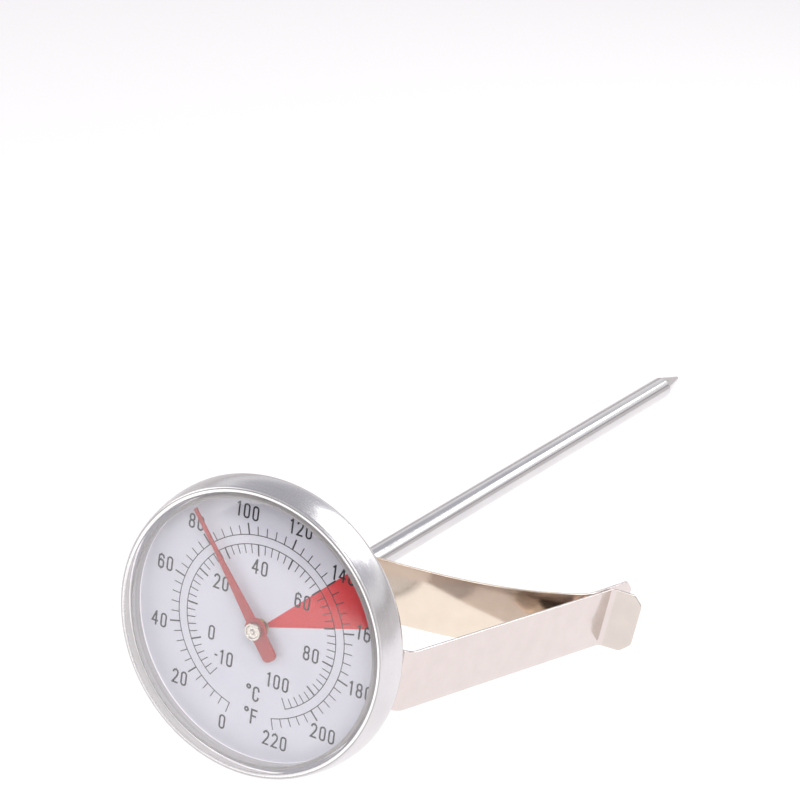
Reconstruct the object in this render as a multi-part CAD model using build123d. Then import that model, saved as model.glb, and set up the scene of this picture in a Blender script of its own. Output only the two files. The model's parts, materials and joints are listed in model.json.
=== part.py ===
from build123d import *

import os
from math import cos, radians, sin, tan

# Clip-on bimetal dial thermometer: a 2 inch head, a pointed stem and a sliding spring-steel clip.
#
# Millimetres. The stem runs along +Y and the dial faces -Y, with 12 o'clock at +Z and 3 o'clock at +X.
# The origin is on the stem's axis, in the plane of the case's rear face, where the stem leaves the head.
# Most pieces are turned or pressed, so they are profiles of (radius, y) revolved about the Y axis.

# ---- driving dimensions -------------------------------------------------------------------------
# bezel ring
head_radius = 25.4
head_depth = 7.15
bezel_sheet = 0.3
lip_inner_radius = 24.1
lip_bend_radius = 24.5
widest_y = -3.8
hem_inner_radius = 22.7
lip_corner = 0.4
band_curve = 12.0
rear_corner = 2.1

# case back
back_sheet = 0.5
back_plate_radius = 21.4
back_step_radius = 22.3
back_rim_radius = 23.4
back_rim_y = -0.57
back_bend = 0.6
back_rim_front_y = back_rim_y - back_sheet / 2

# dial
dial_front_y = -2.85
dial_thickness = 0.4
dial_radius = 24.5
dial_hole_radius = 1.5
scale_radius = 15.6
support_ring_radius = 24.3
support_ring_inner_radius = 23.0

# crystal and gasket
crystal_radius = 24.3
crystal_face_radius = 23.9
crystal_flat_radius = 22.9
crystal_thickness = 1.1
crystal_dome = 0.3
crystal_proud = 0.03
crystal_outer_corner = 0.75
crystal_inner_corner = 0.6
skirt_inner_radius = 23.1
gasket_radius = 24.15
gasket_thickness = 0.25

# stem
stem_radius = 2.2
stem_bore_radius = 1.9
stem_length = 159.5
stem_start_y = -1.3
tip_cone_length = 8.5
tip_spigot_length = 1.5
tip_nose_radius = 0.35
tip_nose_fillet = 0.3
flange_radius = 5.5
flange_front_y = -1.25

# movement
spindle_radius = 0.45
spindle_end_y = 108.0
running_clearance = 0.05
bearing_flange_front_y = -1.7
bearing_end_y = 3.0
guide_start_y = 70.0
guide_length = 2.5
collar_radius = 0.95
collar_length = 2.5
helix_radius = 1.25
helix_strip_thickness = 0.2
helix_strip_width = 1.5
helix_pitch = 2.0
helix_start_y = 107.0
helix_length = 39.0
anchor_fit = 0.03
anchor_stub_length = 3.0
anchor_gap = 1.0

# pointer: it reads 84 F at rest, on a scale of 1.5 degrees per F with 110 F at 12 o'clock
degrees_per_f = 1.5
top_reading_f = 110.0
rest_reading_f = 84.0
pointer_thickness = 0.35
pointer_front_y = dial_front_y - 1.6
pointer_back_y = pointer_front_y + pointer_thickness
pointer_reach = 1.40 * scale_radius
pointer_waist = 0.90 * scale_radius
pointer_root_half = 0.065 * scale_radius
pointer_waist_half = 0.023 * scale_radius
pointer_tip_half = 0.019 * scale_radius
pointer_tail_reach = 0.36 * scale_radius
pointer_tail_width = 0.175 * scale_radius
pointer_tail_corner = 0.95
pointer_disc_radius = 0.13 * scale_radius
bush_neck_radius = spindle_radius + 0.35
bush_shoulder_radius = 1.2
bush_dial_gap = 0.25
cap_radius = 0.094 * scale_radius
cap_front_y = dial_front_y - 2.75
cap_rim_y = cap_front_y + 0.12
cap_floor_y = cap_front_y + 0.3
cap_cavity_y = cap_front_y + 0.5
cap_edge = 0.1

# clip: one strip of spring steel; rho is measured from the stem's axis in the clip's own plane
clip_turn_degrees = 6.0
clip_width = 11.0
clip_thickness = 0.45
clip_base_y = 0.40
clip_split_rho = -6.0
clip_loop_rho = -11.0
clip_loop_top_y = 20.5
clip_loop_bend = 4.8
clip_loop_slope_degrees = 14.0
clip_loop_run = 7.5
clip_corner = (24.80, clip_base_y)
clip_ridge = (37.25, 50.20)
clip_lip_end = (42.45, 51.90)
clip_corner_bend = 2.4
clip_ridge_bend = 1.6
clip_bow = ((8.4, 26.0), (20.0, 31.35), (30.0, 38.85))
clip_jaw_length = 4.2
clip_inner_lip_rho = 5.44
clip_inner_lip_y = 6.4
clip_arm_gap = 0.1
clip_hole_clearance = 0.1
clip_lip_chamfer = 1.7
jaw_open_degrees = 3.0
jaw_slot_middle_y = 23.5
jaw_slot_spare = 0.3


# ---- helpers ------------------------------------------------------------------------------------
def turned(*points):
    """A solid of revolution about the stem's axis from a closed polygon of (radius, y) points."""
    return revolve(make_face(Polyline(*points, close=True)), Axis.Y)


def tube_piece(outer_radius, inner_radius, start_y, end_y):
    """A plain ring or bush along the stem's axis."""
    return turned(
        (inner_radius, start_y),
        (outer_radius, start_y),
        (outer_radius, end_y),
        (inner_radius, end_y),
    )


def pressed_sheet(path, thickness):
    """A turned sheet-metal piece: the path of the middle of the sheet, given thickness and revolved."""
    return revolve(trace(path, thickness), Axis.Y)


def strip(path):
    """A piece of the clip's strip: the path of its middle, given the strip's thickness and width."""
    return extrude(trace(path, clip_thickness), clip_width / 2, both=True)


def clip_direction():
    """Unit vector, in (rho, y), along the clip's straight outer arm."""
    run = clip_ridge[0] - clip_corner[0]
    rise = clip_ridge[1] - clip_corner[1]
    length = (run**2 + rise**2) ** 0.5
    return run / length, rise / length


def chamfer_lip(solid):
    """Cut the two corners at the strip's lip, which is its end furthest from the stem."""
    corners = solid.edges().filter_by(lambda e: abs(e.length - clip_thickness) < 0.02)
    return chamfer(corners.sort_by(Axis.X)[-2:], clip_lip_chamfer)


def turned_to_rest(solid):
    """Swing a clip piece from the XY plane to its rest place about the stem."""
    return Rot(0, clip_turn_degrees, 0) * solid


# ---- head ---------------------------------------------------------------------------------------
def bezel_ring():
    """The convex band: its front lip folds over the crystal, and its rear hem over the case back."""
    lip_y = -head_depth + bezel_sheet / 2
    band_radius = head_radius - bezel_sheet / 2
    hem_y = -bezel_sheet / 2
    path = FilletPolyline(
        (lip_inner_radius, lip_y),
        (lip_bend_radius, lip_y),
        (band_radius, widest_y),
        (band_radius, hem_y),
        (hem_inner_radius, hem_y),
        radius=(lip_corner, band_curve, rear_corner),
    )
    return pressed_sheet(path, bezel_sheet)


def case_back():
    """Dished rear cover, with its rim tucked under the bezel ring's hem."""
    plate_y = -back_sheet / 2
    path = FilletPolyline(
        (stem_radius, plate_y),
        (back_plate_radius, plate_y),
        (back_step_radius, back_rim_y),
        (back_rim_radius, back_rim_y),
        radius=back_bend,
    )
    return pressed_sheet(path, back_sheet)


def dial_support_ring():
    """Spacer that carries the dial's edge on the case back's rim."""
    dial_back_y = dial_front_y + dial_thickness
    return tube_piece(support_ring_radius, support_ring_inner_radius, dial_back_y, back_rim_front_y)


def dial_plate():
    """The printed disc."""
    return tube_piece(dial_radius, dial_hole_radius, dial_front_y, dial_front_y + dial_thickness)


def crystal():
    """Clear cover: a slightly domed face, a step under the bezel's lip, and a skirt down to the dial."""
    edge_y = -head_depth - crystal_proud
    side_y = edge_y + crystal_outer_corner
    step_y = -head_depth + bezel_sheet + gasket_thickness
    inner_y = edge_y + crystal_thickness
    inside_radius = skirt_inner_radius - crystal_inner_corner
    front = ThreePointArc(
        (-crystal_flat_radius, edge_y),
        (0, edge_y - crystal_dome),
        (crystal_flat_radius, edge_y),
    ).trim(0.5, 1)
    corner = TangentArc((crystal_flat_radius, edge_y), (crystal_face_radius, side_y), tangent=(1, 0))
    side = Polyline(
        (crystal_face_radius, side_y),
        (crystal_face_radius, step_y),
        (crystal_radius, step_y),
        (crystal_radius, dial_front_y),
        (skirt_inner_radius, dial_front_y),
        (skirt_inner_radius, inner_y + crystal_inner_corner),
    )
    inside_corner = RadiusArc(
        (skirt_inner_radius, inner_y + crystal_inner_corner),
        (inside_radius, inner_y),
        crystal_inner_corner,
    )
    back = ThreePointArc(
        (inside_radius, inner_y),
        (0, inner_y - crystal_dome),
        (-inside_radius, inner_y),
    ).trim(0, 0.5)
    axis_line = Line((0, inner_y - crystal_dome), (0, edge_y - crystal_dome))
    return revolve(make_face([front, corner, side, inside_corner, back, axis_line]), Axis.Y)


def crystal_gasket():
    """Flat sealing ring between the crystal's step and the bezel's lip."""
    front_y = -head_depth + bezel_sheet
    return tube_piece(gasket_radius, crystal_face_radius, front_y, front_y + gasket_thickness)


# ---- stem ---------------------------------------------------------------------------------------
def stem_tube():
    """The long thin-walled tube, from inside the case to the shoulder of its point."""
    return tube_piece(stem_radius, stem_bore_radius, stem_start_y, stem_length - tip_cone_length)


def stem_flange():
    """Collar brazed on the tube's upper end and spot-welded to the inside of the case back."""
    return tube_piece(flange_radius, stem_radius, flange_front_y, -back_sheet)


def stem_tip():
    """Pointed plug that closes the tube, with a small rounded nose."""
    shoulder_y = stem_length - tip_cone_length
    spigot_y = shoulder_y - tip_spigot_length
    outline = FilletPolyline(
        (0, spigot_y),
        (stem_bore_radius, spigot_y),
        (stem_bore_radius, shoulder_y),
        (stem_radius, shoulder_y),
        (tip_nose_radius, stem_length),
        (0, stem_length),
        radius=(0, 0, 0, tip_nose_fillet),
    )
    axis_line = Line((0, stem_length), (0, spigot_y))
    return revolve(make_face([outline, axis_line]), Axis.Y)


# ---- movement -----------------------------------------------------------------------------------
def upper_bearing():
    """Flanged bush in the tube's upper end, where the spindle turns."""
    bore = spindle_radius + running_clearance
    return turned(
        (bore, bearing_flange_front_y),
        (stem_radius, bearing_flange_front_y),
        (stem_radius, stem_start_y),
        (stem_bore_radius, stem_start_y),
        (stem_bore_radius, bearing_end_y),
        (bore, bearing_end_y),
    )


def spindle_guide():
    """Plain bush half way down the tube that keeps the spindle straight."""
    bore = spindle_radius + running_clearance
    return tube_piece(stem_bore_radius, bore, guide_start_y, guide_start_y + guide_length)


def spindle():
    """Thin rod from the pointer down to the top of the helix."""
    return turned(
        (0, cap_cavity_y),
        (spindle_radius, cap_cavity_y),
        (spindle_radius, spindle_end_y),
        (0, spindle_end_y),
    )


def helix_collar():
    """Collar pressed on the spindle's lower end, which the helix's upper turn drives."""
    return tube_piece(collar_radius, spindle_radius, spindle_end_y - collar_length, spindle_end_y)


def bimetal_helix():
    """Coiled bimetal strip that turns the spindle as it warms."""
    path = Helix(helix_pitch, helix_length, helix_radius, direction=(0, 1, 0))
    section_plane = Plane(path @ 0, x_dir=(path @ 0).normalized(), z_dir=path % 0)
    section = section_plane * Rectangle(helix_strip_thickness, helix_strip_width)
    return Pos(0, helix_start_y, 0) * sweep(section, path, is_frenet=True)


def helix_anchor():
    """Plug fixed in the tube's end, with a stub that holds the helix's last turns."""
    stub_radius = helix_radius - helix_strip_thickness / 2 - anchor_fit
    helix_end_y = helix_start_y + helix_length
    plug_start_y = helix_end_y + anchor_gap
    plug_end_y = stem_length - tip_cone_length - tip_spigot_length
    return turned(
        (0, helix_end_y - anchor_stub_length),
        (stub_radius, helix_end_y - anchor_stub_length),
        (stub_radius, plug_start_y),
        (stem_bore_radius, plug_start_y),
        (stem_bore_radius, plug_end_y),
        (0, plug_end_y),
    )


# ---- pointer ------------------------------------------------------------------------------------
def pointer():
    """Tapered blade with a round middle and a short counterweight tail."""
    blade = make_face(
        Polyline(
            (-pointer_root_half, 0),
            (-pointer_waist_half, pointer_waist),
            (-pointer_tip_half, pointer_reach),
            (pointer_tip_half, pointer_reach),
            (pointer_waist_half, pointer_waist),
            (pointer_root_half, 0),
            close=True,
        )
    )
    tail_shape = RectangleRounded(pointer_tail_width, pointer_tail_reach, pointer_tail_corner)
    tail = Pos(0, -pointer_tail_reach / 2) * tail_shape
    outline = blade + tail + Circle(pointer_disc_radius) - Circle(bush_neck_radius)
    # the sketch's Y axis becomes +Z, and its depth runs from the front face towards the dial
    flat = Plane((0, pointer_front_y, 0), x_dir=(1, 0, 0), z_dir=(0, -1, 0)) * outline
    angle = (rest_reading_f - top_reading_f) * degrees_per_f
    return Rot(0, angle, 0) * extrude(flat, -pointer_thickness)


def pointer_bush():
    """Brass bush pressed on the spindle, which carries the blade on its neck."""
    shoulder_end_y = dial_front_y - bush_dial_gap
    return turned(
        (spindle_radius, pointer_front_y),
        (bush_neck_radius, pointer_front_y),
        (bush_neck_radius, pointer_back_y),
        (bush_shoulder_radius, pointer_back_y),
        (bush_shoulder_radius, shoulder_end_y),
        (spindle_radius, shoulder_end_y),
    )


def pointer_cap():
    """Bright disc riveted over the blade: a raised rim, a dished ring and a peened middle."""
    return turned(
        (0, cap_cavity_y),
        (0, cap_front_y),
        (0.35, cap_front_y + 0.02),
        (0.55, cap_floor_y),
        (1.05, cap_floor_y),
        (1.15, cap_rim_y),
        (cap_radius - cap_edge, cap_rim_y),
        (cap_radius, cap_rim_y + cap_edge),
        (cap_radius, pointer_front_y),
        (spindle_radius, pointer_front_y),
        (spindle_radius, cap_cavity_y),
    )


# ---- clip ---------------------------------------------------------------------------------------
def clip_outer_arm():
    """Base plate behind the case, the outer arm, and the lip that flares away from the stem."""
    path = FilletPolyline(
        (clip_split_rho, clip_base_y),
        clip_corner,
        clip_ridge,
        clip_lip_end,
        radius=(clip_corner_bend, clip_ridge_bend),
    )
    arm = chamfer_lip(strip(path))
    through = 4 * clip_thickness
    hole = Rot(90, 0, 0) * Cylinder(stem_radius + clip_hole_clearance, through)
    return turned_to_rest(arm - Pos(0, clip_base_y, 0) * hole)


def jaw_slot(arm_end_y):
    """Cutter for the inner arm's long hole, which clears the stem while the jaw opens."""
    swing = (arm_end_y + 2.0 - clip_base_y) * tan(radians(jaw_open_degrees))
    reach = swing + jaw_slot_spare
    radius = stem_radius + clip_hole_clearance
    depth = 8.0
    near_end = Rot(90, 0, 0) * Cylinder(radius, depth)
    middle = Pos(reach / 2, 0, 0) * Box(reach, depth, 2 * radius)
    return Pos(0, jaw_slot_middle_y, 0) * (near_end + Pos(reach, 0, 0) * near_end + middle)


def clip_inner_arm():
    """The loop round the far side of the stem, the bowed inner arm, and the jaw's straight lip."""
    run, rise = clip_direction()
    offset = clip_thickness + clip_arm_gap
    ridge = (clip_ridge[0] - rise * offset, clip_ridge[1] + run * offset)
    meet = (ridge[0] - run * clip_jaw_length, ridge[1] - rise * clip_jaw_length)
    slope = radians(clip_loop_slope_degrees)
    loop_corner = (clip_loop_rho, clip_loop_top_y)
    bow_start = (
        loop_corner[0] + clip_loop_run * cos(slope),
        loop_corner[1] + clip_loop_run * sin(slope),
    )
    loop = FilletPolyline(
        (clip_split_rho - clip_arm_gap, clip_base_y),
        (clip_loop_rho, clip_base_y),
        loop_corner,
        bow_start,
        radius=clip_loop_bend,
    )
    bow = Spline(
        bow_start,
        *clip_bow,
        meet,
        tangents=[(cos(slope), sin(slope)), (run, rise)],
    )
    lip = Line(meet, (ridge[0] + clip_inner_lip_rho * run, ridge[1] + clip_inner_lip_y * rise))
    arm = chamfer_lip(strip([loop, bow, lip]))
    return turned_to_rest(arm - jaw_slot(bow_start[1]))


# ---- write one STEP per piece -------------------------------------------------------------------
pieces = (
    bezel_ring,
    case_back,
    dial_support_ring,
    dial_plate,
    crystal,
    crystal_gasket,
    stem_tube,
    stem_flange,
    stem_tip,
    upper_bearing,
    spindle_guide,
    spindle,
    helix_collar,
    bimetal_helix,
    helix_anchor,
    pointer,
    pointer_bush,
    pointer_cap,
    clip_outer_arm,
    clip_inner_arm,
)

os.makedirs("parts", exist_ok=True)
for piece in pieces:
    export_step(piece(), f"parts/{piece.__name__}.step")
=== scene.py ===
import json
import math

import bmesh
import bpy
from mathutils import Matrix, Vector


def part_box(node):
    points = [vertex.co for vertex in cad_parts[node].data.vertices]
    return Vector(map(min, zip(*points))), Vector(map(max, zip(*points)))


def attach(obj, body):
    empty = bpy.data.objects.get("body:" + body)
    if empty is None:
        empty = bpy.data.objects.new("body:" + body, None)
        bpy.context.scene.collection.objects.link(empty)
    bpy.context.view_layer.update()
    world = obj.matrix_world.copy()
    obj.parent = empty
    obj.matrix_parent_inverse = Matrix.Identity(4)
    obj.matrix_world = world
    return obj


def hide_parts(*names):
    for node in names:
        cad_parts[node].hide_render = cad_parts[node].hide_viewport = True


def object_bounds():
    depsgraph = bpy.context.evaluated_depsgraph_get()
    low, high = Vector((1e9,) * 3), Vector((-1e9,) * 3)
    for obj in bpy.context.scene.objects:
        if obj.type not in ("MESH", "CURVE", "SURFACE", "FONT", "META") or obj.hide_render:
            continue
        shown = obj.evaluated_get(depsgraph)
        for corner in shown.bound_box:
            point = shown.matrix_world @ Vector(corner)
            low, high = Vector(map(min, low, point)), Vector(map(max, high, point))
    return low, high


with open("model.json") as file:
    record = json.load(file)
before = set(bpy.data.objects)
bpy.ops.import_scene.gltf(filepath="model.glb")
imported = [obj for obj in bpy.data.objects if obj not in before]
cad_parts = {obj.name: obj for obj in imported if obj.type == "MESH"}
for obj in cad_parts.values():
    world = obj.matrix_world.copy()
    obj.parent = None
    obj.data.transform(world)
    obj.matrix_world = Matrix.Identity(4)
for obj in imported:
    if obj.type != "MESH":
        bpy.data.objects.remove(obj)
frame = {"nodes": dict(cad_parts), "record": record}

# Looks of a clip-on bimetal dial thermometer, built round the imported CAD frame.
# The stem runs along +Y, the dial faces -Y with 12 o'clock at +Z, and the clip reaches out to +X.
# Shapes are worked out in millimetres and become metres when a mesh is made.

cad_low, cad_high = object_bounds()
MM = 0.001


# ---- sizes --------------------------------------------------------------------------------------
def low(node):
    """Lowest corner of a CAD node, in millimetres."""
    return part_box(node)[0] / MM


def high(node):
    """Highest corner of a CAD node, in millimetres."""
    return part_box(node)[1] / MM


# head
head_radius = high("bezel_ring").x
head_front = low("bezel_ring").y
bezel_sheet = 0.3
lip_inner_radius = 24.1
lip_bend_radius = 24.5
widest_y = -3.8
lip_corner = 0.4
band_curve = 12.0
rear_corner = 2.1
hem_inner_radius = 22.7
back_sheet = 0.5
back_plate_radius = 21.4
back_step_radius = 22.3
back_rim_radius = high("case_back").x
back_rim_y = low("case_back").y + back_sheet / 2

# crystal and gasket
crystal_radius = high("crystal").x
crystal_front = low("crystal").y
crystal_back = high("crystal").y
crystal_dome = 0.3
crystal_flat_radius = 22.9
crystal_face_radius = 23.9
crystal_thickness = 1.1
skirt_inner_radius = 23.1
gasket_radius = high("crystal_gasket").x
gasket_front = low("crystal_gasket").y
gasket_back = high("crystal_gasket").y

# dial: 0 to 220 F over 330 degrees, with 110 F at 12 o'clock
dial_front = low("dial_plate").y
scale_radius = 15.6
celsius_radius = 0.90 * scale_radius
degrees_per_f = 1.5
top_reading = 110.0
rest_reading = 84.0
sector_readings = (140.0, 158.0)
figure_height = 0.165 * scale_radius
unit_height = 1.05 * figure_height
ink_front = dial_front - 0.02
ink_back = dial_front - 0.002
ink_step = 0.002

# stem
stem_radius = high("stem_tube").x
stem_bore_radius = stem_radius - 0.3
stem_start = low("stem_tube").y
shoulder_y = high("stem_tube").y
stem_end = high("stem_tip").y

# pointer
pointer_front = low("pointer").y
pointer_back = high("pointer").y
pointer_reach = 1.40 * scale_radius
pointer_waist = 0.90 * scale_radius
pointer_tail = 0.36 * scale_radius
pointer_disc = 0.13 * scale_radius
cap_radius = high("pointer_cap").x
cap_front = low("pointer_cap").y
cap_back = high("pointer_cap").y

# clip: rho is measured from the stem's axis in the clip's own plane
clip_turn = math.radians(6.0)
clip_width = 11.0
clip_thickness = 0.45
clip_edge = 0.1
clip_base_y = low("clip_outer_arm").y + clip_thickness / 2
clip_split = -6.0
clip_loop_rho = -11.0
clip_loop_top = 20.5
clip_loop_bend = 4.8
clip_corner = (24.80, clip_base_y)
clip_ridge = (37.25, 50.20)
clip_lip_end = (42.45, 51.90)
clip_corner_bend = 2.4
clip_ridge_bend = 1.6
clip_arm_gap = 0.1
clip_tint_run = (36.0, 50.0)
clip_hole_radius = stem_radius + 0.1
clip_chamfer = 1.7


# ---- outlines -----------------------------------------------------------------------------------
def rounded_path(points, radii, arc_step=math.radians(5)):
    """The points of a polyline whose inner corners are rounded by arcs of these radii."""
    corners = [Vector(p) for p in points]
    path = [corners[0]]
    for before, corner, after, radius in zip(corners, corners[1:], corners[2:], radii):
        to_before = (before - corner).normalized()
        to_after = (after - corner).normalized()
        turn = math.pi - to_before.angle(to_after)
        if radius <= 0 or turn < 1e-4:
            path.append(corner)
            continue
        centre = corner + (to_before + to_after).normalized() * radius / math.cos(turn / 2)
        arm = corner + to_before * radius * math.tan(turn / 2) - centre
        side = 1 if to_after.cross(to_before) > 0 else -1
        steps = max(2, math.ceil(turn / arc_step))
        for i in range(steps + 1):
            swing = Matrix.Rotation(side * turn * i / steps, 2)
            path.append(centre + swing @ arm)
    path.append(corners[-1])
    return path


def arc(centre, radius, start, end, arc_step=math.radians(5)):
    """Points of a circular arc between two angles in degrees, counter-clockwise when end is larger."""
    first, last = math.radians(start), math.radians(end)
    steps = max(2, math.ceil(abs(last - first) / arc_step))
    turns = [first + (last - first) * i / steps for i in range(steps + 1)]
    return [Vector((centre[0] + radius * math.cos(a), centre[1] + radius * math.sin(a))) for a in turns]


def side_normals(path, closed=False):
    """The left-hand normal at each point of a path, long enough to keep a mitred offset's width."""
    count = len(path)
    normals = []
    for i, point in enumerate(path):
        before = path[i - 1] if closed or i > 0 else None
        after = path[(i + 1) % count] if closed or i < count - 1 else None
        runs = []
        if before is not None:
            runs.append((point - before).normalized())
        if after is not None:
            runs.append((after - point).normalized())
        sides = [Vector((-run.y, run.x)) for run in runs]
        normal = sum(sides, Vector((0, 0))).normalized()
        normals.append(normal / max(0.35, normal.dot(sides[0])))
    return normals


def sheet_outline(path, thickness, steps=6):
    """Closed outline of a sheet that follows path, with fully rounded edges."""
    normals = side_normals(path)
    half = thickness / 2
    left = [p + n * half for p, n in zip(path, normals)]
    right = [p - n * half for p, n in zip(path, normals)]
    end_turn = math.degrees(math.atan2(normals[-1].y, normals[-1].x))
    start_turn = math.degrees(math.atan2(-normals[0].y, -normals[0].x))
    end_cap = arc(path[-1], half, end_turn, end_turn - 180, math.pi / steps)[1:-1]
    start_cap = arc(path[0], half, start_turn, start_turn - 180, math.pi / steps)[1:-1]
    return left + end_cap + right[::-1] + start_cap


# ---- meshes -------------------------------------------------------------------------------------
def finish_mesh(name, bm, smooth_angle=40):
    """A Blender object in metres from a bmesh in millimetres, smooth but for its sharp edges."""
    bmesh.ops.remove_doubles(bm, verts=bm.verts, dist=1e-5)
    bmesh.ops.recalc_face_normals(bm, faces=bm.faces)
    bmesh.ops.scale(bm, vec=(MM, MM, MM), verts=bm.verts)
    mesh = bpy.data.meshes.new(name)
    bm.to_mesh(mesh)
    bm.free()
    mesh.shade_smooth()
    mesh.set_sharp_from_angle(angle=math.radians(smooth_angle))
    piece = bpy.data.objects.new(name, mesh)
    bpy.context.scene.collection.objects.link(piece)
    return piece


def turned(name, outline, closed=True, segments=288, smooth_angle=40):
    """A piece turned about the stem's axis from (radius, y) points; an open outline ends on the axis."""
    bm = bmesh.new()
    rings = []
    for i in range(segments):
        angle = 2 * math.pi * i / segments
        ring = [bm.verts.new((r * math.cos(angle), y, r * math.sin(angle))) for r, y in outline]
        rings.append(ring)
    count = len(outline)
    spans = range(count) if closed else range(count - 1)
    for i in range(segments):
        ring, following = rings[i], rings[(i + 1) % segments]
        for j in spans:
            k = (j + 1) % count
            bm.faces.new((ring[j], ring[k], following[k], following[j]))
    bmesh.ops.remove_doubles(bm, verts=bm.verts, dist=1e-5)
    bmesh.ops.dissolve_degenerate(bm, edges=bm.edges, dist=1e-6)
    return finish_mesh(name, bm, smooth_angle)


def cut(piece, cutter):
    """Cuts a solid out of a piece, and removes the solid."""
    modifier = piece.modifiers.new("cut", "BOOLEAN")
    modifier.object = cutter
    modifier.operation = "DIFFERENCE"
    modifier.solver = "EXACT"
    bpy.context.view_layer.update()
    depsgraph = bpy.context.evaluated_depsgraph_get()
    mesh = bpy.data.meshes.new_from_object(piece.evaluated_get(depsgraph))
    piece.modifiers.clear()
    old = piece.data
    piece.data = mesh
    bpy.data.meshes.remove(old)
    mesh.name = piece.name
    mesh.shade_smooth()
    mesh.set_sharp_from_angle(angle=math.radians(40))
    bpy.data.objects.remove(cutter)


def bridge(bm, rows, closed=False):
    """Joins rows of vertices, each a closed outline, by a skin; its ends are capped unless it closes."""
    following_rows = rows[1:] + rows[:1] if closed else rows[1:]
    for row, following in zip(rows, following_rows):
        for j in range(len(row)):
            k = (j + 1) % len(row)
            bm.faces.new((row[j], row[k], following[k], following[j]))
    if not closed:
        bm.faces.new(rows[0])
        bm.faces.new(rows[-1])


def ribbon(bm, path, width, front, closed=False):
    """A printed line on the dial: a path of (x, z) points, with its width and the y of its face."""
    normals = side_normals(path, closed)
    rows = []
    for point, normal in zip(path, normals):
        left, right = point + normal * width / 2, point - normal * width / 2
        corners = ((left, front), (right, front), (right, ink_back), (left, ink_back))
        rows.append([bm.verts.new((p.x, y, p.y)) for p, y in corners])
    bridge(bm, rows, closed)


# ---- materials ----------------------------------------------------------------------------------
class Finish:
    """A material under construction: its Principled shader and short ways to add nodes."""

    def __init__(self, name, **settings):
        self.material = bpy.data.materials.new(name)
        self.material.use_nodes = True
        self.tree = self.material.node_tree
        self.shader = self.tree.nodes["Principled BSDF"]
        for socket, value in settings.items():
            self.set(socket.replace("_", " "), value)

    def set(self, socket, value):
        """Gives a shader socket a plain value, or links a node's output to it."""
        self.give(self.shader.inputs[socket], value)

    def give(self, target, value):
        """Gives an input a plain value, or links a node's output to it."""
        if isinstance(value, bpy.types.NodeSocket):
            self.tree.links.new(value, target)
        elif hasattr(value, "__len__") and len(value) == 3 and target.type == "RGBA":
            target.default_value = (*value, 1.0)
        else:
            target.default_value = value

    def node(self, kind, **inputs):
        """A new node with inputs given by name, where underscores stand for spaces."""
        made = self.tree.nodes.new("ShaderNode" + kind)
        for name, value in inputs.items():
            self.give(made.inputs[name.replace("_", " ")], value)
        return made

    def math(self, operation, first, second=0.0, third=0.0):
        """One step of arithmetic on numbers or outputs."""
        made = self.tree.nodes.new("ShaderNodeMath")
        made.operation = operation
        for target, value in zip(made.inputs, (first, second, third)):
            self.give(target, value)
        return made.outputs[0]

    def position(self):
        """The point's place in the object, in millimetres."""
        coordinates = self.tree.nodes.new("ShaderNodeTexCoord").outputs["Object"]
        scaled = self.tree.nodes.new("ShaderNodeVectorMath")
        scaled.operation = "SCALE"
        self.give(scaled.inputs[0], coordinates)
        scaled.inputs["Scale"].default_value = 1 / MM
        return scaled.outputs[0]

    def noise(self, vector, scale, detail):
        """Even noise; scale is in cells per millimetre."""
        made = self.node("TexNoise", Vector=vector, Scale=scale, Detail=detail)
        return made.outputs["Fac"]

    def spun_noise(self, across, around, detail):
        """Noise drawn out round the stem's axis, as a turning or polishing tool leaves it."""
        x, y, z = self.node("SeparateXYZ", Vector=self.position()).outputs
        radius = self.math("SQRT", self.math("ADD", self.math("MULTIPLY", x, x), self.math("MULTIPLY", z, z)))
        radius = self.math("MAXIMUM", radius, 0.01)
        turn_x = self.math("MULTIPLY", self.math("DIVIDE", x, radius), around)
        turn_z = self.math("MULTIPLY", self.math("DIVIDE", z, radius), around)
        place = self.node("CombineXYZ", X=turn_x, Y=self.math("MULTIPLY", y, across), Z=turn_z)
        made = self.tree.nodes.new("ShaderNodeTexNoise")
        made.noise_dimensions = "4D"
        self.give(made.inputs["Vector"], place.outputs[0])
        self.give(made.inputs["W"], self.math("MULTIPLY", radius, across))
        made.inputs["Scale"].default_value = 1.0
        made.inputs["Detail"].default_value = detail
        return made.outputs["Fac"]

    def drawn_noise(self, lengths, detail):
        """Noise stretched along the axes: lengths are its cells' sizes in millimetres."""
        stretched = self.node("Mapping", Vector=self.position())
        stretched.inputs["Scale"].default_value = [1 / size for size in lengths]
        return self.noise(stretched.outputs[0], 1.0, detail)

    def ramp(self, value, start, end, low_end=0.0, high_end=1.0):
        """Goes smoothly from low_end to high_end while a value goes from start to end."""
        made = self.node("MapRange", Value=value)
        made.interpolation_type = "SMOOTHSTEP"
        self.set_range(made, start, end, low_end, high_end)
        return made.outputs[0]

    def span(self, value, low_end, high_end):
        """Spreads the middle of a noise over a range."""
        made = self.node("MapRange", Value=value)
        self.set_range(made, 0.3, 0.7, low_end, high_end)
        return made.outputs[0]

    def set_range(self, made, *levels):
        """Gives a Map Range node the ends of its two ranges."""
        for name, level in zip(("From Min", "From Max", "To Min", "To Max"), levels):
            made.inputs[name].default_value = level

    def blend(self, factor, first, second):
        """A colour between two colours."""
        made = self.tree.nodes.new("ShaderNodeMix")
        made.data_type = "RGBA"
        self.give(made.inputs[0], factor)
        self.give(made.inputs[6], first)
        self.give(made.inputs[7], second)
        return made.outputs[2]

    def mottle(self, noise, dull, bright):
        """A colour that a noise carries from dull to bright."""
        return self.blend(self.span(noise, 0.0, 1.0), dull, bright)

    def bump(self, height, depth_mm, strength):
        """Fine relief, depth_mm deep."""
        made = self.node("Bump", Height=height, Strength=strength, Distance=depth_mm * MM)
        self.set("Normal", made.outputs[0])


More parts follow.
